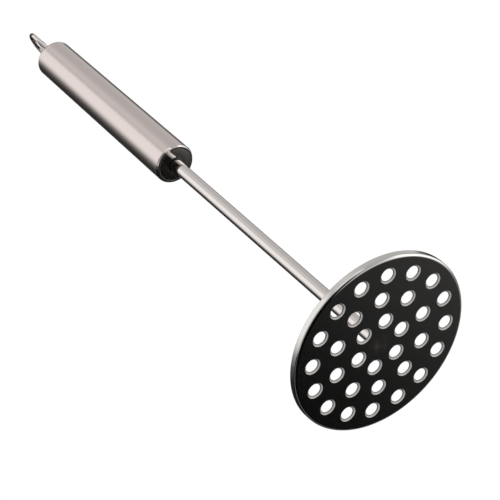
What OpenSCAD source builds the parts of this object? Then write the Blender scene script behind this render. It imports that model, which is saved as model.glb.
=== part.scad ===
// Potato masher: a perforated round plate on a straight rod, with a hollow
// handle and a hanging loop. It stands on its mashing face, with +Z along the
// rod towards the handle, and +X towards one leg of the hanging loop.

/* [Mashing plate] */
// Diameter over the turned-up rim
plate_d = 85; // [72:1:120]
// Thickness of the sheet that the plate is pressed from
sheet_t = 0.8; // [0.6:0.1:1.2]
// Height of the rim, from the mashing face to its free edge
rim_h = 3.6; // [2.8:0.1:8]
// Inside radius of the bend between the face and the rim
rim_bend_r = 0.4; // [0.2:0.1:1]
// Clear diameter of each hole
hole_d = 5.7; // [4:0.1:6.5]
// Width of the eased mouth that each hole has on the mashing face
hole_lip_w = 0.8; // [0.2:0.05:1]
// Depth of that mouth
hole_lip_h = 0.6; // [0.2:0.05:0.7]
// Distance from the outside of the rim to the centres of the outer ring of holes
hole_margin = 8.6; // [6:0.1:10]
// Holes in the inner ring
inner_holes = 6; // [4:1:6]
// Holes in the middle ring
middle_holes = 10; // [6:1:12]
// Holes in the outer ring
outer_holes = 16; // [8:1:18]
// Turn of the line on which all three rings have a hole, from +X
hole_turn = 96.6; // [0:0.1:180]

/* [Rod] */
// Diameter of the rod
rod_d = 6; // [4:0.5:8]
// Length of rod that shows between the plate and the handle
rod_l = 160.7; // [100:0.1:240]
// How far the rod reaches into the handle
rod_reach = 12; // [4:1:40]
// Size of the weld bead round the rod on the back of the plate
plate_bead = 1.5; // [0.5:0.1:2]
// Size of the weld bead round the rod under the handle
rod_bead = 0.9; // [0.5:0.1:2]

/* [Handle] */
// Length of the handle
handle_l = 114.4; // [80:0.2:160]
// Diameter of the handle at its lower end
handle_low_d = 19.6; // [16:0.1:28]
// Diameter of the handle at its upper end
handle_top_d = 18.5; // [15:0.1:28]
// Wall thickness of the handle tube
handle_wall = 1; // [0.8:0.1:2]
// Inside radius of the tube's turned-in lower edge
low_curl_r = 0.4; // [0.2:0.1:1]
// Radius that rounds off the tube's upper edge
top_edge_r = 0.8; // [0.3:0.1:1.5]
// Width of the flat ring left at each end of the tube
end_land = 0.2; // [0.1:0.05:0.5]
// Thickness of the end caps
cap_t = 1; // [0.8:0.1:2]
// How far the end caps sit below the tube's ends
cap_recess = 0.2; // [0.1:0.05:0.5]

/* [Hanging loop] */
// Diameter of the loop's wire
loop_wire_d = 2.4; // [1.5:0.1:3]
// Height of the loop above the handle
loop_h = 22.4; // [14:0.1:40]
// Size of the weld bead round each leg of the loop
loop_bead = 0.8; // [0.3:0.1:1]
// Room between that bead and the edge of the upper cap
loop_gap = 0.1; // [0.1:0.1:1]
// How far the legs reach through the upper cap
loop_reach = 2; // [0:0.5:8]

/* [Hidden] */
$fn = 64;
cut_over = 1;

plate_r = plate_d / 2;
rod_r = rod_d / 2;
hole_r = hole_d / 2;
wire_r = loop_wire_d / 2;

ring_holes = [inner_holes, middle_holes, outer_holes];
ring_pitch = (plate_r - hole_margin) / len(ring_holes);

handle_low_z = sheet_t + rod_l;
handle_top_z = handle_low_z + handle_l;
handle_low_r = handle_low_d / 2;
handle_top_r = handle_top_d / 2;
low_edge_r = low_curl_r + handle_wall;
top_round_r = min(top_edge_r, handle_wall - end_land);

lower_cap_r = handle_low_r - low_edge_r - end_land;
upper_cap_r = handle_top_r - handle_wall;
lower_cap_z = handle_low_z + cap_recess;
upper_cap_z = handle_top_z - cap_recess - cap_t;
cap_top_z = upper_cap_z + cap_t;

leg_x = upper_cap_r - loop_gap - loop_bead - wire_r;
bend_z = handle_top_z + loop_h - wire_r - leg_x;

// Half section of a solid dish with a rounded lower corner, open upwards
module dish_half(r, low, high, corner) {
    translate([0, low]) square([r - corner, high - low]);
    translate([0, low + corner]) square([r, high - low - corner]);
    translate([r - corner, low + corner]) circle(r = corner);
}

// One hole's cutter: clear through the sheet, with its mouth at z = 0
module hole_cutter() {
    lip_slope = hole_lip_w / hole_lip_h;
    translate([0, 0, -cut_over]) cylinder(h = sheet_t + 2 * cut_over, r = hole_r);
    translate([0, 0, -cut_over])
        cylinder(h = hole_lip_h + cut_over, r1 = hole_r + lip_slope * (hole_lip_h + cut_over),
                 r2 = hole_r);
}

// Weld bead round a rod of radius r that stands on z = 0, on the side dir (1 up, -1 down)
module bead_ring(r, size, dir) {
    rotate_extrude()
        intersection() {
            translate([r, 0]) circle(r = size);
            translate([r, dir > 0 ? 0 : -size]) square(size);
        }
}

module mashing_plate() {
    color("silver")
        difference() {
            rotate_extrude()
                difference() {
                    dish_half(plate_r, 0, rim_h, rim_bend_r + sheet_t);
                    dish_half(plate_r - sheet_t, sheet_t, rim_h + cut_over, rim_bend_r);
                }
            for (ring = [0 : len(ring_holes) - 1])
                for (i = [0 : ring_holes[ring] - 1])
                    rotate([0, 0, hole_turn + i * 360 / ring_holes[ring]])
                        translate([(ring + 1) * ring_pitch, 0, 0])
                            hole_cutter();
        }
}

module plate_weld() {
    color("gray") translate([0, 0, sheet_t]) bead_ring(rod_r, plate_bead, 1);
}

module rod() {
    color("gainsboro")
        translate([0, 0, sheet_t])
            cylinder(h = rod_l + cap_recess + cap_t + rod_reach, r = rod_r);
}

module rod_weld() {
    color("gray") translate([0, 0, lower_cap_z]) bead_ring(rod_r, rod_bead, -1);
}

module lower_cap() {
    color("darkgray")
        translate([0, 0, lower_cap_z])
            difference() {
                cylinder(h = cap_t, r = lower_cap_r);
                translate([0, 0, -cut_over]) cylinder(h = cap_t + 2 * cut_over, r = rod_r);
            }
}

// Half section of the handle's outside, with both ends rounded
module handle_outline() {
    translate([0, handle_low_z])
        square([handle_low_r - low_edge_r, low_edge_r]);
    translate([handle_low_r - low_edge_r, handle_low_z + low_edge_r])
        circle(r = low_edge_r);
    polygon([
        [0, handle_low_z + low_edge_r],
        [handle_low_r, handle_low_z + low_edge_r],
        [handle_top_r, handle_top_z - top_round_r],
        [0, handle_top_z - top_round_r]
    ]);
    translate([handle_top_r - top_round_r, handle_top_z - top_round_r])
        circle(r = top_round_r);
    translate([0, handle_top_z - top_round_r])
        square([handle_top_r - top_round_r, top_round_r]);
}

// Half section of the handle's inside, from the turned-in edge to the open top
module handle_bore() {
    translate([0, handle_low_z + handle_wall])
        square([handle_low_r - low_edge_r, low_curl_r]);
    translate([handle_low_r - low_edge_r, handle_low_z + low_edge_r])
        circle(r = low_curl_r);
    polygon([
        [0, handle_low_z + low_edge_r],
        [handle_low_r - handle_wall, handle_low_z + low_edge_r],
        [upper_cap_r, upper_cap_z],
        [upper_cap_r, handle_top_z + cut_over],
        [0, handle_top_z + cut_over]
    ]);
    translate([0, handle_low_z - cut_over])
        square([lower_cap_r, handle_wall + 2 * cut_over]);
}

module handle_tube() {
    color("rosybrown")
        rotate_extrude()
            difference() {
                handle_outline();
                handle_bore();
            }
}

module upper_cap() {
    color("darkgray")
        translate([0, 0, upper_cap_z])
            difference() {
                cylinder(h = cap_t, r = upper_cap_r);
                for (side = [-1, 1])
                    translate([side * leg_x, 0, -cut_over])
                        cylinder(h = cap_t + 2 * cut_over, r = wire_r);
            }
}

module hanging_loop() {
    color("gainsboro") {
        for (side = [-1, 1])
            translate([side * leg_x, 0, upper_cap_z - loop_reach])
                cylinder(h = bend_z - upper_cap_z + loop_reach, r = wire_r);
        translate([0, 0, bend_z])
            rotate([90, 0, 0])
                rotate_extrude(angle = 180)
                    translate([leg_x, 0]) circle(r = wire_r);
    }
}

module loop_weld(side) {
    color("gray") translate([side * leg_x, 0, cap_top_z]) bead_ring(wire_r, loop_bead, 1);
}

mashing_plate();
plate_weld();
rod();
rod_weld();
lower_cap();
handle_tube();
upper_cap();
hanging_loop();
loop_weld(1);  // loop_weld_front
loop_weld(-1);  // loop_weld_back
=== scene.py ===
import math

import bmesh
import bpy
from mathutils import Matrix, Quaternion, Vector


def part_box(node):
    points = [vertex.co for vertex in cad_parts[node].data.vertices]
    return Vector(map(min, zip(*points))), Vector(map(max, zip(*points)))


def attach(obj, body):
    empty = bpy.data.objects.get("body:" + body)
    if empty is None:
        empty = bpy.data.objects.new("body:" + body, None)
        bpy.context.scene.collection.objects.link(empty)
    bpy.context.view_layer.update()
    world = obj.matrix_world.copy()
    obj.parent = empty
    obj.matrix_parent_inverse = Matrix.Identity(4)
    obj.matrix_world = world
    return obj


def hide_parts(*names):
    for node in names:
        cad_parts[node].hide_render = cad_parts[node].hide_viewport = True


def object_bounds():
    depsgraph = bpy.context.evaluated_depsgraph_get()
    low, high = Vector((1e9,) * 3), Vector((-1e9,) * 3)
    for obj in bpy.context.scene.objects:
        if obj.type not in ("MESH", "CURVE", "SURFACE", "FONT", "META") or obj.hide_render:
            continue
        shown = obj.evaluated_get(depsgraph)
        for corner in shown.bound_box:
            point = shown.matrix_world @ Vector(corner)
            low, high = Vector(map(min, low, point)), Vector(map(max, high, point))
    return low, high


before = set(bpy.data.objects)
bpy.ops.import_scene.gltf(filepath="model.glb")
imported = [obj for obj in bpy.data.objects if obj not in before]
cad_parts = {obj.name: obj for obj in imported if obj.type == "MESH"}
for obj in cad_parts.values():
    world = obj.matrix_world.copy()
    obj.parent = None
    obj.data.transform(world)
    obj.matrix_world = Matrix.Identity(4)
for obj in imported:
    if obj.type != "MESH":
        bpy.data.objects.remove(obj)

cad_low, cad_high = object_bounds()

# ---------------------------------------------------------------------------
# Mashing plate
# A disc pressed from thin stainless sheet and buffed to a mirror. Its edge is
# turned back towards the rod. The press has left matt, eased mouths at the
# three rings of holes, and a thin sheared wall behind each, rougher than the
# face, with a dark colour that is painted shade inside the hole.
# ---------------------------------------------------------------------------
plate_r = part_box("mashing_plate")[1].y
rim_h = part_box("mashing_plate")[1].z
sheet_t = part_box("rod")[0].z
rim_bend_r = sheet_t + 0.0004
rim_edge_r = 0.00028
hole_r = 0.00285
hole_knee_r = 0.00342
hole_knee_z = 0.00066
hole_mouth_r = 0.00365
hole_land_r = hole_mouth_r + 0.00012
hole_mouth_edge = 0.0001
hole_inner_edge = 0.00004
hole_margin = 0.0086
hole_turn = math.radians(96.6)
holes_in_ring = (6, 10, 16)
ring_pitch = (plate_r - hole_margin) / len(holes_in_ring)
bend_start = plate_r - rim_bend_r - 0.0001
witness_from = 0.0065
witness_full = 0.0015
rounding_steps = 8
edge_hold = 0.00005


def lathe(bm, corners, steps, centre=(0.0, 0.0), closed=True, held=True):
    """Turns corners, each (radius, height, rounding), about an upright axis.

    Held corners keep their shading to themselves, so that the flats stay flat.
    """
    made = [bm.verts.new((centre[0] + r, centre[1], z)) for r, z, _ in corners]
    ends = made[1:] + made[:1] if closed else made[1:]
    for start, end in zip(made, ends):
        bm.edges.new((start, end))
    for vert, (_, _, rounding) in zip(made, corners):
        if rounding:
            bmesh.ops.bevel(bm, geom=[vert], offset=rounding, segments=rounding_steps,
                            profile=0.5, affect="VERTICES", material=-1)
    for edge in [edge for edge in bm.edges if edge.is_wire and held]:
        first, last = edge.verts
        run = edge.calc_length()
        if run > 4 * edge_hold:
            _, hold = bmesh.utils.edge_split(edge, first, edge_hold / run)
            rest = bm.edges.get((hold, last))
            bmesh.utils.edge_split(rest, last, edge_hold / rest.calc_length())
    wire = [edge for edge in bm.edges if edge.is_wire]
    points = list({vert for edge in wire for vert in edge.verts})
    bmesh.ops.spin(bm, geom=points + wire, cent=(*centre, 0), axis=(0, 0, 1),
                   angle=math.tau, steps=steps, use_merge=True)


def fill_face(bm, height):
    """Fills the flat face between all the open edges at one height."""
    edges = [edge for edge in bm.edges if edge.is_boundary
             and all(abs(vert.co.z - height) < 1e-7 for vert in edge.verts)]
    bmesh.ops.triangle_fill(bm, use_beauty=True, edges=edges)


def finished_piece(bm, name, material):
    """Closes a bmesh's seams and poles, turns its faces outwards and shows it."""
    bmesh.ops.remove_doubles(bm, verts=bm.verts, dist=1e-7)
    bmesh.ops.recalc_face_normals(bm, faces=bm.faces)
    mesh = bpy.data.meshes.new(name)
    bm.to_mesh(mesh)
    bm.free()
    mesh.shade_smooth()
    mesh.materials.append(material)
    piece = bpy.data.objects.new(name, mesh)
    bpy.context.scene.collection.objects.link(piece)
    return piece


def new_group(name, inputs, outputs):
    """An empty shader node group with named sockets, and its two ends."""
    group = bpy.data.node_groups.new(name, "ShaderNodeTree")
    for way, sockets in (("INPUT", inputs), ("OUTPUT", outputs)):
        for socket, kind in sockets.items():
            group.interface.new_socket(name=socket, in_out=way, socket_type="NodeSocket" + kind)
    return group, group.nodes.new("NodeGroupInput"), group.nodes.new("NodeGroupOutput")


def feed(tree, socket, value):
    """Links another socket into a socket, or sets it to a plain value."""
    if isinstance(value, bpy.types.NodeSocket):
        tree.links.new(value, socket)
    else:
        socket.default_value = value


def use_group(tree, group, values):
    """Places a node group in a tree and feeds its inputs."""
    node = tree.nodes.new("ShaderNodeGroup")
    node.node_tree = group
    for socket, value in values.items():
        feed(tree, node.inputs[socket], value)
    return node


def maths(tree, operation, *values):
    """A Math node on up to three values or sockets; gives its output socket."""
    node = tree.nodes.new("ShaderNodeMath")
    node.operation = operation
    for socket, value in zip(node.inputs, values):
        feed(tree, socket, value)
    return node.outputs[0]


def noise(tree, vector, scale, detail, roughness):
    """A Noise texture on a vector; gives its value socket."""
    node = tree.nodes.new("ShaderNodeTexNoise")
    node.inputs["Scale"].default_value = scale
    node.inputs["Detail"].default_value = detail
    node.inputs["Roughness"].default_value = roughness
    tree.links.new(vector, node.inputs["Vector"])
    return node.outputs["Fac"]


def ramp(tree, value, low, high, smooth=True):
    """0 at low and 1 at high, whichever of the two is the smaller."""
    node = tree.nodes.new("ShaderNodeMapRange")
    node.interpolation_type = "SMOOTHSTEP" if smooth else "LINEAR"
    node.inputs["From Min"].default_value = low
    node.inputs["From Max"].default_value = high
    tree.links.new(value, node.inputs["Value"])
    return node.outputs["Result"]


def mixed(tree, kind, factor, first, second):
    """Goes from first to second, two Colors or Floats, as the factor goes from 0 to 1."""
    node = tree.nodes.new("ShaderNodeMix")
    node.data_type = "RGBA" if kind == "Color" else "FLOAT"
    sockets = {socket.identifier: socket for socket in node.inputs}
    feed(tree, sockets["Factor_Float"], factor)
    feed(tree, sockets["A_" + kind], first)
    feed(tree, sockets["B_" + kind], second)
    return {socket.identifier: socket for socket in node.outputs}["Result_" + kind]


# Polishing lines: fine grain along a stretched vector, and a slow haze of
# smears over it. The depths are in metres.
polish, ins, outs = new_group(
    "polish_lines",
    {"Grain": "Vector", "Place": "Vector", "Colour": "Color", "Rough": "Float", "Line": "Float",
     "Haze": "Float", "Tint": "Float", "Line Depth": "Float", "Wave Depth": "Float"},
    {"Colour": "Color", "Rough": "Float", "Height": "Float"})
line = maths(polish, "SUBTRACT", noise(polish, ins.outputs["Grain"], 1.0, 3.0, 0.6), 0.5)
haze = maths(polish, "SUBTRACT", noise(polish, ins.outputs["Place"], 60.0, 3.0, 0.55), 0.5)
rough = maths(polish, "MULTIPLY_ADD", line, ins.outputs["Line"], ins.outputs["Rough"])
rough = maths(polish, "MULTIPLY_ADD", haze, ins.outputs["Haze"], rough)
feed(polish, outs.inputs["Rough"], maths(polish, "MAXIMUM", rough, 0.02))
height = maths(polish, "MULTIPLY", haze, ins.outputs["Wave Depth"])
height = maths(polish, "MULTIPLY_ADD", line, ins.outputs["Line Depth"], height)
feed(polish, outs.inputs["Height"], height)
shade = polish.nodes.new("ShaderNodeHueSaturation")
feed(polish, shade.inputs["Value"], maths(polish, "MULTIPLY_ADD", line, ins.outputs["Tint"], 1.0))
feed(polish, shade.inputs["Color"], ins.outputs["Colour"])
feed(polish, outs.inputs["Colour"], shade.outputs["Color"])

# A patch for wear, marks and painted shade: another colour and roughness where the mask is 1.
wear_and_shade_patch, ins, outs = new_group(
    "wear_and_shade_patch",
    {"Mask": "Float", "Colour": "Color", "Rough": "Float", "Metal": "Float",
     "Worn Colour": "Color", "Worn Rough": "Float", "Worn Metal": "Float"},
    {"Colour": "Color", "Rough": "Float", "Metal": "Float"})
for look, kind in (("Colour", "Color"), ("Rough", "Float"), ("Metal", "Float")):
    feed(wear_and_shade_patch, outs.inputs[look],
         mixed(wear_and_shade_patch, kind, ins.outputs["Mask"], ins.outputs[look],
               ins.outputs["Worn " + look]))


def place_on(tree):
    """Sockets for the place, its distance from the masher's axis and its height."""
    place = tree.nodes.new("ShaderNodeTexCoord").outputs["Object"]
    along = tree.nodes.new("ShaderNodeSeparateXYZ")
    feed(tree, along.inputs[0], place)
    square = maths(tree, "MULTIPLY", along.outputs["Y"], along.outputs["Y"])
    square = maths(tree, "MULTIPLY_ADD", along.outputs["X"], along.outputs["X"], square)
    return place, maths(tree, "SQRT", square), along.outputs["Z"]


def steel(name, colour, rough, grain, line, haze, tint, line_depth, wave_depth=0.0,
          turned=False):
    """Bare steel with polishing lines, straight ones or rings left by turning."""
    material = bpy.data.materials.new(name)
    material.use_nodes = True
    tree = material.node_tree
    shader = tree.nodes["Principled BSDF"]
    shader.inputs["Metallic"].default_value = 1.0
    place, radius, z = place_on(tree)
    stretch = tree.nodes.new("ShaderNodeMapping")
    stretch.inputs["Scale"].default_value = grain
    feed(tree, stretch.inputs["Vector"], place)
    if turned:
        rings = tree.nodes.new("ShaderNodeCombineXYZ")
        feed(tree, rings.inputs["X"], radius)
        feed(tree, rings.inputs["Z"], z)
        feed(tree, stretch.inputs["Vector"], rings.outputs[0])
    marks = use_group(tree, polish, {
        "Grain": stretch.outputs["Vector"], "Place": place, "Colour": (*colour, 1),
        "Rough": rough, "Line": line, "Haze": haze, "Tint": tint, "Line Depth": line_depth,
        "Wave Depth": wave_depth})
    feed(tree, shader.inputs["Base Color"], marks.outputs["Colour"])
    feed(tree, shader.inputs["Roughness"], marks.outputs["Rough"])
    relief = tree.nodes.new("ShaderNodeBump")
    relief.inputs["Distance"].default_value = 1.0
    feed(tree, relief.inputs["Height"], marks.outputs["Height"])
    feed(tree, shader.inputs["Normal"], relief.outputs["Normal"])
    return material


def lay_wear_and_shade(material, mask, colour, rough, metal=1.0):
    """Lays another colour, roughness and metal over a steel where the mask is 1."""
    tree = material.node_tree
    shader = tree.nodes["Principled BSDF"]
    layer = use_group(tree, wear_and_shade_patch, {
        "Mask": mask, "Worn Colour": (*colour, 1), "Worn Rough": rough, "Worn Metal": metal})
    for look, name in (("Colour", "Base Color"), ("Rough", "Roughness"), ("Metal", "Metallic")):
        links = shader.inputs[name].links
        feed(tree, layer.inputs[look], links[0].from_socket if links else 1.0)
        feed(tree, shader.inputs[name], layer.outputs[look])


def painted(tree, name):
    """A value painted on the mesh, as a socket."""
    node = tree.nodes.new("ShaderNodeAttribute")
    node.attribute_name = name
    return node.outputs["Fac"]


hole = bmesh.new()
lathe(hole, [(hole_land_r, 0, 0), (hole_mouth_r, 0, hole_mouth_edge),
             (hole_knee_r, hole_knee_z, hole_inner_edge), (hole_r, sheet_t, hole_inner_edge),
             (hole_land_r, sheet_t, 0)], steps=48, closed=False)
bm = bmesh.new()
for mesh in (hole, bm):
    mesh.verts.layers.float.new("eased")
    mesh.verts.layers.float.new("sheared_and_shaded")
eased = hole.verts.layers.float["eased"]
sheared_and_shaded = hole.verts.layers.float["sheared_and_shaded"]
for vert in hole.verts:
    in_sheet = 1e-6 < vert.co.z < sheet_t - 1e-6
    vert[eased] = float(in_sheet and vert.co.z <= hole_knee_z)
    vert[sheared_and_shaded] = float(in_sheet and vert.co.z > hole_knee_z)
hole_mesh = bpy.data.meshes.new("hole")
hole.to_mesh(hole_mesh)
hole.free()

lathe(bm, [(bend_start, 0, 0), (plate_r, 0, rim_bend_r), (plate_r, rim_h, rim_edge_r),
           (plate_r - sheet_t, rim_h, rim_edge_r),
           (plate_r - sheet_t, sheet_t, rim_bend_r - sheet_t), (bend_start, sheet_t, 0)],
      steps=256, closed=False)
for ring, count in enumerate(holes_in_ring, start=1):
    for i in range(count):
        spoke = Matrix.Rotation(hole_turn + math.tau * i / count, 4, "Z")
        place = spoke @ Matrix.Translation((ring * ring_pitch, 0, 0))
        hole_mesh.transform(place)
        bm.from_mesh(hole_mesh)
        hole_mesh.transform(place.inverted())
bpy.data.meshes.remove(hole_mesh)
fill_face(bm, 0)
fill_face(bm, sheet_t)

mirror_steel = steel("mirror_steel", (0.70, 0.68, 0.66), rough=0.05, grain=(200, 3000, 200),
                     line=0.02, haze=0.03, tint=0.02, line_depth=2e-7, wave_depth=1e-5)
tree = mirror_steel.node_tree
place, radius, _ = place_on(tree)
weld_witness = maths(tree, "MULTIPLY", ramp(tree, radius, witness_from, witness_full),
                     ramp(tree, noise(tree, place, 260.0, 1.0, 0.5), 0.2, 0.9))
lay_wear_and_shade(mirror_steel, weld_witness, (0.5, 0.45, 0.38), 0.25)
lay_wear_and_shade(mirror_steel, painted(tree, "eased"), (0.74, 0.72, 0.70), 0.5, metal=0.3)
# Painted shade: the sheared wall inside each hole is coloured dark over its rougher finish.
lay_wear_and_shade(mirror_steel, painted(tree, "sheared_and_shaded"), (0.33, 0.31, 0.30), 0.35, metal=0.9)
plate = finished_piece(bm, "pressed_plate", mirror_steel)
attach(plate, "root")
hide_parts("mashing_plate")

# ---------------------------------------------------------------------------
# Plate weld
# The bead of weld metal that holds the rod on the back of the plate, laid in
# overlapping ripples, darkened by its heat and wire-brushed.
# ---------------------------------------------------------------------------
rod_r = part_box("rod")[1].x

# The bead's half section, as shares of its size out from the post and off the face.
bead_section = ((0, 0), (1, 0), (0.80, 0.55), (0.32, 0.88), (0, 1))
bead_root = 0.15
bead_foot = 0.1
ripple_drift = 1.3


def weld_bead(name, node, post_r, centre, up, ripples, swell, material):
    """A rippled bead round a post, on top of a flat face (up 1) or under it (up -1)."""
    low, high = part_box(node)
    size = high.z - low.z
    face_z = low.z if up > 0 else high.z
    bead = bmesh.new()
    lathe(bead, [(post_r + size * out, face_z + up * size * off, 0)
                 for out, off in bead_section], steps=144, centre=centre, held=False)
    bmesh.ops.subdivide_edges(
        bead, edges=[edge for edge in bead.edges
                     if abs(edge.verts[0].co.z - edge.verts[1].co.z) > 1e-6],
        cuts=3, use_grid_fill=True, smooth=0.5)
    for vert in bead.verts:
        out = Vector((vert.co.x - centre[0], vert.co.y - centre[1], 0))
        if (out.length > post_r + size * bead_root
                and abs(vert.co.z - face_z) > size * bead_foot):
            turn = math.atan2(out.y, out.x)
            ripple = abs(math.sin(ripples * turn / 2 + ripple_drift * math.sin(2 * turn)))
            vert.co -= out.normalized() * swell * size * (1 - ripple)
    piece = finished_piece(bead, name, material)
    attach(piece, "root")
    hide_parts(node)


weld_steel = steel("weld_steel", (0.24, 0.215, 0.20), rough=0.34, grain=(1500, 1500, 1500),
                   line=0.25, haze=0.1, tint=0.5, line_depth=2e-5)
weld_bead("plate_bead", "plate_weld", rod_r, (0, 0), up=1, ripples=18, swell=0.18,
          material=weld_steel)

# ---------------------------------------------------------------------------
# Rod
# A straight length of round stainless bar, polished along its length. It
# stands on the back of the plate and runs through the lower cap into the
# handle.
# ---------------------------------------------------------------------------
rod_low, rod_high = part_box("rod")
rod_end_edge = 0.0003

bm = bmesh.new()
lathe(bm, [(0, rod_low.z, 0), (rod_r, rod_low.z, 0), (rod_r, rod_high.z, rod_end_edge),
           (0, rod_high.z, 0)], steps=96, closed=False)
drawn_steel = steel("drawn_steel", (0.74, 0.69, 0.665), rough=0.09, grain=(4000, 4000, 60),
                    line=0.05, haze=0.04, tint=0.05, line_depth=2e-7)
rod = finished_piece(bm, "polished_rod", drawn_steel)
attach(rod, "root")
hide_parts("rod")

# ---------------------------------------------------------------------------
# Lower cap
# A stainless disc that closes the handle's lower end, with the rod through
# its middle. It is very slightly crowned, and polished on a lathe.
# ---------------------------------------------------------------------------
lower_cap_low, lower_cap_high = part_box("lower_cap")
lower_cap_r = lower_cap_high.y
cap_crown = 0.00016
crown_steps = 24
cap_edge = 0.00006

bm = bmesh.new()
crown = []
for step in range(crown_steps):
    share = step / crown_steps
    crown.append((rod_r + (lower_cap_r - rod_r) * share,
                  lower_cap_low.z - cap_crown * (1 - share ** 2), 0))
lathe(bm, crown + [(lower_cap_r, lower_cap_low.z, cap_edge),
                   (lower_cap_r, lower_cap_high.z, cap_edge), (rod_r, lower_cap_high.z, 0)],
      steps=128, held=False)
turned_steel = steel("turned_steel", (0.72, 0.70, 0.64), rough=0.1, grain=(3000, 1, 3000),
                     line=0.02, haze=0.02, tint=0.06, line_depth=6e-8, turned=True)
lower_cap = finished_piece(bm, "lower_disc", turned_steel)
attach(lower_cap, "root")
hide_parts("lower_cap")

# ---------------------------------------------------------------------------
# Rod weld
# A small bead that seals the rod where it enters the lower cap. It is painted
# near black to stand in for the dark ring round the rod's root.
# ---------------------------------------------------------------------------
# Near black, standing in for the dark ring at the rod's root.
near_black_steel = steel("near_black_steel", (0.035, 0.033, 0.032), rough=0.3, grain=(1500, 1500, 1500),
                     line=0.25, haze=0.1, tint=0.5, line_depth=2e-5)
weld_bead("rod_bead", "rod_weld", rod_r, (0, 0), up=-1, ripples=22, swell=0.15,
          material=near_black_steel)

# ---------------------------------------------------------------------------
# Handle tube
# A hollow, slightly tapered stainless tube, belt-ground round and round to a
# satin finish. Its lower edge is turned in and bevelled, its upper edge only
# rounded, and handling has rubbed both bright. The seam with the lower cap is
# painted near black as shade.
# ---------------------------------------------------------------------------
tube_low, tube_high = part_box("handle_tube")
tube_low_r = tube_high.y
upper_cap_low, upper_cap_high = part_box("upper_cap")
upper_cap_r = upper_cap_high.y
tube_wall = 0.001
tube_top_r = upper_cap_r + tube_wall
low_bevel_w = 0.0006
low_bevel_h = 0.0010
low_bevel_edge = 0.0001
low_bevel_shoulder = 0.0003
top_round = 0.0008
seam_edge = 0.00004
mouth_edge = 0.00008
inner_bend = 0.0003
rubbed_colour = (0.74, 0.68, 0.65)
seam_shade = (0.05, 0.048, 0.045)

bm = bmesh.new()
lathe(bm, [(lower_cap_r, tube_low.z, seam_edge),
           (tube_low_r - low_bevel_w, tube_low.z, low_bevel_edge),
           (tube_low_r, tube_low.z + low_bevel_h, low_bevel_shoulder),
           (tube_top_r, tube_high.z, top_round), (upper_cap_r, tube_high.z, mouth_edge),
           (upper_cap_r, upper_cap_low.z, 0),
           (tube_low_r - tube_wall, tube_low.z + tube_wall, inner_bend),
           (lower_cap_r, tube_low.z + tube_wall, 0)], steps=128)
satin_steel = steel("satin_steel", (0.70, 0.62, 0.59), rough=0.2, grain=(40, 40, 3000),
                    line=0.1, haze=0.05, tint=0.08, line_depth=6e-7)
tree = satin_steel.node_tree
_, radius, z = place_on(tree)
low_edge = ramp(tree, z, tube_low.z + 0.0011, tube_low.z + 0.0008)
cap_seam_shade = ramp(tree, radius, lower_cap_r + 0.00025, lower_cap_r + 0.0001)
top_edge = ramp(tree, z, tube_high.z - 0.0010, tube_high.z - 0.0002)
lay_wear_and_shade(satin_steel, low_edge, rubbed_colour, 0.07)
# Painted shade: a near-black band in the seam with the lower cap.
lay_wear_and_shade(satin_steel, cap_seam_shade, seam_shade, 0.4, metal=0.5)
lay_wear_and_shade(satin_steel, top_edge, rubbed_colour, 0.1)
tube = finished_piece(bm, "satin_tube", satin_steel)
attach(tube, "root")
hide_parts("handle_tube")

# ---------------------------------------------------------------------------
# Upper cap
# The disc that closes the handle's upper end, drilled for the two legs of the
# hanging loop.
# ---------------------------------------------------------------------------
loop_low, loop_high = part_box("hanging_loop")
wire_r = loop_high.y
leg_x = loop_high.x - wire_r
cap_land = 0.0002

bm = bmesh.new()
lathe(bm, [(upper_cap_r - cap_land, upper_cap_low.z, 0), (upper_cap_r, upper_cap_low.z, 0),
           (upper_cap_r, upper_cap_high.z, cap_edge),
           (upper_cap_r - cap_land, upper_cap_high.z, 0)], steps=128, closed=False)
for side in (1, -1):
    lathe(bm, [(wire_r + cap_land, upper_cap_low.z, 0), (wire_r, upper_cap_low.z, 0),
               (wire_r, upper_cap_high.z, 0), (wire_r + cap_land, upper_cap_high.z, 0)],
          steps=48, centre=(side * leg_x, 0), closed=False)
fill_face(bm, upper_cap_low.z)
fill_face(bm, upper_cap_high.z)
upper_cap = finished_piece(bm, "upper_disc", turned_steel)
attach(upper_cap, "root")
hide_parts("upper_cap")

# ---------------------------------------------------------------------------
# Hanging loop
# One length of drawn stainless wire bent into a hairpin, its two legs through
# the upper cap. A hook goes through it.
# ---------------------------------------------------------------------------
bend_z = loop_high.z - wire_r - leg_x


def only(kind, parts):
    """The verts or the edges among what a bmesh operator gives back."""
    return [part for part in parts if isinstance(part, kind)]


bm = bmesh.new()
bmesh.ops.create_circle(bm, cap_ends=True, radius=wire_r, segments=32,
                        matrix=Matrix.Translation((leg_x, 0, loop_low.z)))
rise = bmesh.ops.extrude_edge_only(bm, edges=bm.edges[:])["geom"]
leg_top = only(bmesh.types.BMVert, rise)
bmesh.ops.translate(bm, vec=(0, 0, bend_z - loop_low.z), verts=leg_top)
bend = bmesh.ops.spin(bm, geom=leg_top + only(bmesh.types.BMEdge, rise), cent=(0, 0, bend_z),
                      axis=(0, -1, 0), angle=math.pi, steps=48)["geom_last"]
fall = bmesh.ops.extrude_edge_only(bm, edges=only(bmesh.types.BMEdge, bend))["geom"]
leg_end = only(bmesh.types.BMVert, fall)
bmesh.ops.translate(bm, vec=(0, 0, loop_low.z - bend_z), verts=leg_end)
bmesh.ops.contextual_create(bm, geom=leg_end)
loop = finished_piece(bm, "wire_loop", drawn_steel)
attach(loop, "root")
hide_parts("hanging_loop")

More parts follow.
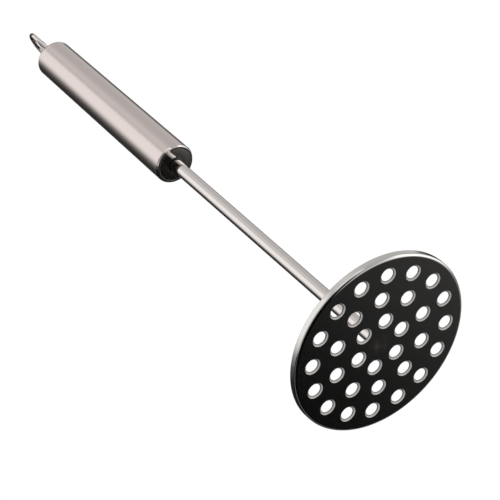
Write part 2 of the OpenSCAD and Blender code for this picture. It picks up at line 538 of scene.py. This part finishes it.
# ---------------------------------------------------------------------------
# Loop welds
# One bead round each leg of the loop, on the upper cap.
# ---------------------------------------------------------------------------
for name, node, side in (("front_leg_bead", "loop_weld_front", 1),
                         ("back_leg_bead", "loop_weld_back", -1)):
    weld_bead(name, node, wire_r, (side * leg_x, 0), up=1, ripples=12, swell=0.15,
              material=weld_steel)

# ---------------------------------------------------------------------------
# Studio
# A white room for whatever looks at it directly. The steel sees big soft
# boxes instead: a broad bright ring overhead, walls to the right, a strip
# low behind, and darkness to the left and straight below.
# ---------------------------------------------------------------------------
camera_azimuth = math.radians(-13.0)
dark_level = 0.002
room_level = 1.0

# Brightness of the upper ring, by the turn in degrees from the camera's side.
upper_ring = {-180: 0.02, -115: 0.02, -95: 0.10, -80: 0.34, -66: 0.85, -52: 1.12, -6: 1.10,
              7: 0.69, 28: 0.79, 58: 0.61, 92: 0.59, 125: 0.66, 136: 0.16, 150: 0.03}
upper_ring_from = 24
upper_ring_full = 36
zenith_from = 58
zenith_full = 66
zenith_level = 0.10

# Turn, height, half the turn, half the height, softness (degrees) and brightness.
soft_boxes = {
    "front left": (-28, 12, 36, 26, 12, 0.5),
    "front right": (27, 12, 18, 28, 12, 1.0),
    "middle right": (66, -10, 22, 44, 30, 0.58),
    "right wall": (112, -18, 30, 32, 20, 1.2),
    "right return": (165, -12, 30, 12, 14, 0.2),
    "right floor": (130, -43, 30, 30, 50, 0.5),
    "low strip": (105, -66, 60, 14, 24, 0.45),
    "back band": (-125, -15, 70, 10, 10, 0.14),
}

soft_box, ins, outs = new_group(
    "soft_box",
    {"Turn": "Float", "Height": "Float", "At Turn": "Float", "At Height": "Float",
     "Half Turn": "Float", "Half Height": "Float", "Soft": "Float", "Level": "Float"},
    {"Light": "Float"})
light = ins.outputs["Level"]
for way in ("Turn", "Height"):
    away = maths(soft_box, "SUBTRACT", ins.outputs[way], ins.outputs["At " + way])
    away = maths(soft_box, "ABSOLUTE", maths(soft_box, "WRAP", away, 180, -180))
    inside = maths(soft_box, "DIVIDE",
                   maths(soft_box, "SUBTRACT", ins.outputs["Half " + way], away),
                   ins.outputs["Soft"])
    light = maths(soft_box, "MULTIPLY", light, ramp(soft_box, inside, -0.5, 0.5))
feed(soft_box, outs.inputs["Light"], light)

world = bpy.data.worlds.new("studio")
world.use_nodes = True
bpy.context.scene.world = world
tree = world.node_tree
sight = tree.nodes.new("ShaderNodeSeparateXYZ")
feed(tree, sight.inputs[0], tree.nodes.new("ShaderNodeTexCoord").outputs["Generated"])
azimuth = maths(tree, "ARCTAN2", sight.outputs["Y"], sight.outputs["X"])
turn = maths(tree, "DEGREES", maths(tree, "SUBTRACT", azimuth, camera_azimuth))
turn = maths(tree, "WRAP", turn, 180, -180)
height = maths(tree, "DEGREES", maths(tree, "ARCSINE", sight.outputs["Z"]))

light = dark_level
for at_turn, at_height, half_turn, half_height, soft, level in soft_boxes.values():
    box = use_group(tree, soft_box, {
        "Turn": turn, "Height": height, "At Turn": at_turn, "At Height": at_height,
        "Half Turn": half_turn, "Half Height": half_height, "Soft": soft, "Level": level})
    light = maths(tree, "ADD", box.outputs["Light"], light)

ring = tree.nodes.new("ShaderNodeValToRGB")
stops = ring.color_ramp.elements
for index, (at_turn, level) in enumerate(upper_ring.items()):
    position = (at_turn + 180) / 360
    stop = stops[index] if index < 2 else stops.new(position)
    stop.position = position
    stop.color = (level, level, level, 1)
feed(tree, ring.inputs["Fac"], ramp(tree, turn, -180, 180, smooth=False))
light = mixed(tree, "Float", ramp(tree, height, upper_ring_from, upper_ring_full),
              light, ring.outputs["Color"])
light = mixed(tree, "Float", ramp(tree, height, zenith_from, zenith_full), light, zenith_level)
seen_by_steel = tree.nodes.new("ShaderNodeLightPath").outputs["Is Glossy Ray"]
light = mixed(tree, "Float", seen_by_steel, room_level, light)
feed(tree, tree.nodes["Background"].inputs["Color"], light)

# ---------------------------------------------------------------------------
# Table
# A plain pale table under the plate. It can't be seen from below, and the steel
# doesn't reflect it.
# ---------------------------------------------------------------------------
table_size = 12.0
table_gap = 0.0002
table_grey = 0.86

bm = bmesh.new()
bmesh.ops.create_grid(bm, x_segments=1, y_segments=1, size=table_size / 2,
                      matrix=Matrix.Translation((0, 0, cad_low.z - table_gap)))
table_paint = bpy.data.materials.new("table_paint")
table_paint.use_nodes = True
tree = table_paint.node_tree
paint = tree.nodes["Principled BSDF"]
paint.inputs["Base Color"].default_value = (table_grey, table_grey, table_grey, 1)
paint.inputs["Roughness"].default_value = 0.9
paint.inputs["Specular IOR Level"].default_value = 0.0
sides = tree.nodes.new("ShaderNodeMixShader")
feed(tree, sides.inputs[0], tree.nodes.new("ShaderNodeNewGeometry").outputs["Backfacing"])
feed(tree, sides.inputs[1], paint.outputs[0])
feed(tree, sides.inputs[2], tree.nodes.new("ShaderNodeBsdfTransparent").outputs[0])
feed(tree, tree.nodes["Material Output"].inputs["Surface"], sides.outputs[0])
table_mesh = bpy.data.meshes.new("table")
bm.to_mesh(table_mesh)
bm.free()
table_mesh.materials.append(table_paint)
table = bpy.data.objects.new("table", table_mesh)
bpy.context.scene.collection.objects.link(table)
table.visible_glossy = False
table.visible_shadow = False

# ---------------------------------------------------------------------------
# Overhead lamp
# One big soft lamp, so that the masher casts a soft shadow on the table.
# ---------------------------------------------------------------------------
lamp_place = Vector((0.3, -0.4, 1.3))
lamp = bpy.data.lights.new("overhead", "AREA")
lamp.shape = "DISK"
lamp.size = 1.0
lamp.energy = 6
overhead = bpy.data.objects.new("overhead", lamp)
overhead.location = lamp_place
overhead.rotation_euler = lamp_place.to_track_quat("Z", "Y").to_euler()
overhead.visible_glossy = False
overhead.visible_camera = False
bpy.context.scene.collection.objects.link(overhead)

# ---------------------------------------------------------------------------
# Camera
# Looks up at the mashing face from below, with a long lens.
# ---------------------------------------------------------------------------
camera_elevation = math.radians(-43.162)
camera_roll = math.radians(-48.3925)
camera_distance = 1.010277
camera_target = Vector((-0.001484, -0.006429, 0.090475))
camera_data = bpy.data.cameras.new("camera")
camera_data.lens = 165.6
camera_data.sensor_width = 36.0
camera_data.clip_start = 0.05
camera_data.clip_end = 50.0
camera = bpy.data.objects.new("camera", camera_data)
bpy.context.scene.collection.objects.link(camera)
away = Vector((math.cos(camera_elevation) * math.cos(camera_azimuth),
               math.cos(camera_elevation) * math.sin(camera_azimuth),
               math.sin(camera_elevation)))
camera.location = camera_target + away * camera_distance
camera.rotation_mode = "QUATERNION"
camera.rotation_quaternion = away.to_track_quat("Z", "Y") @ Quaternion((0, 0, 1), camera_roll)
bpy.context.scene.camera = camera
bpy.context.scene.view_settings.view_transform = "Standard"
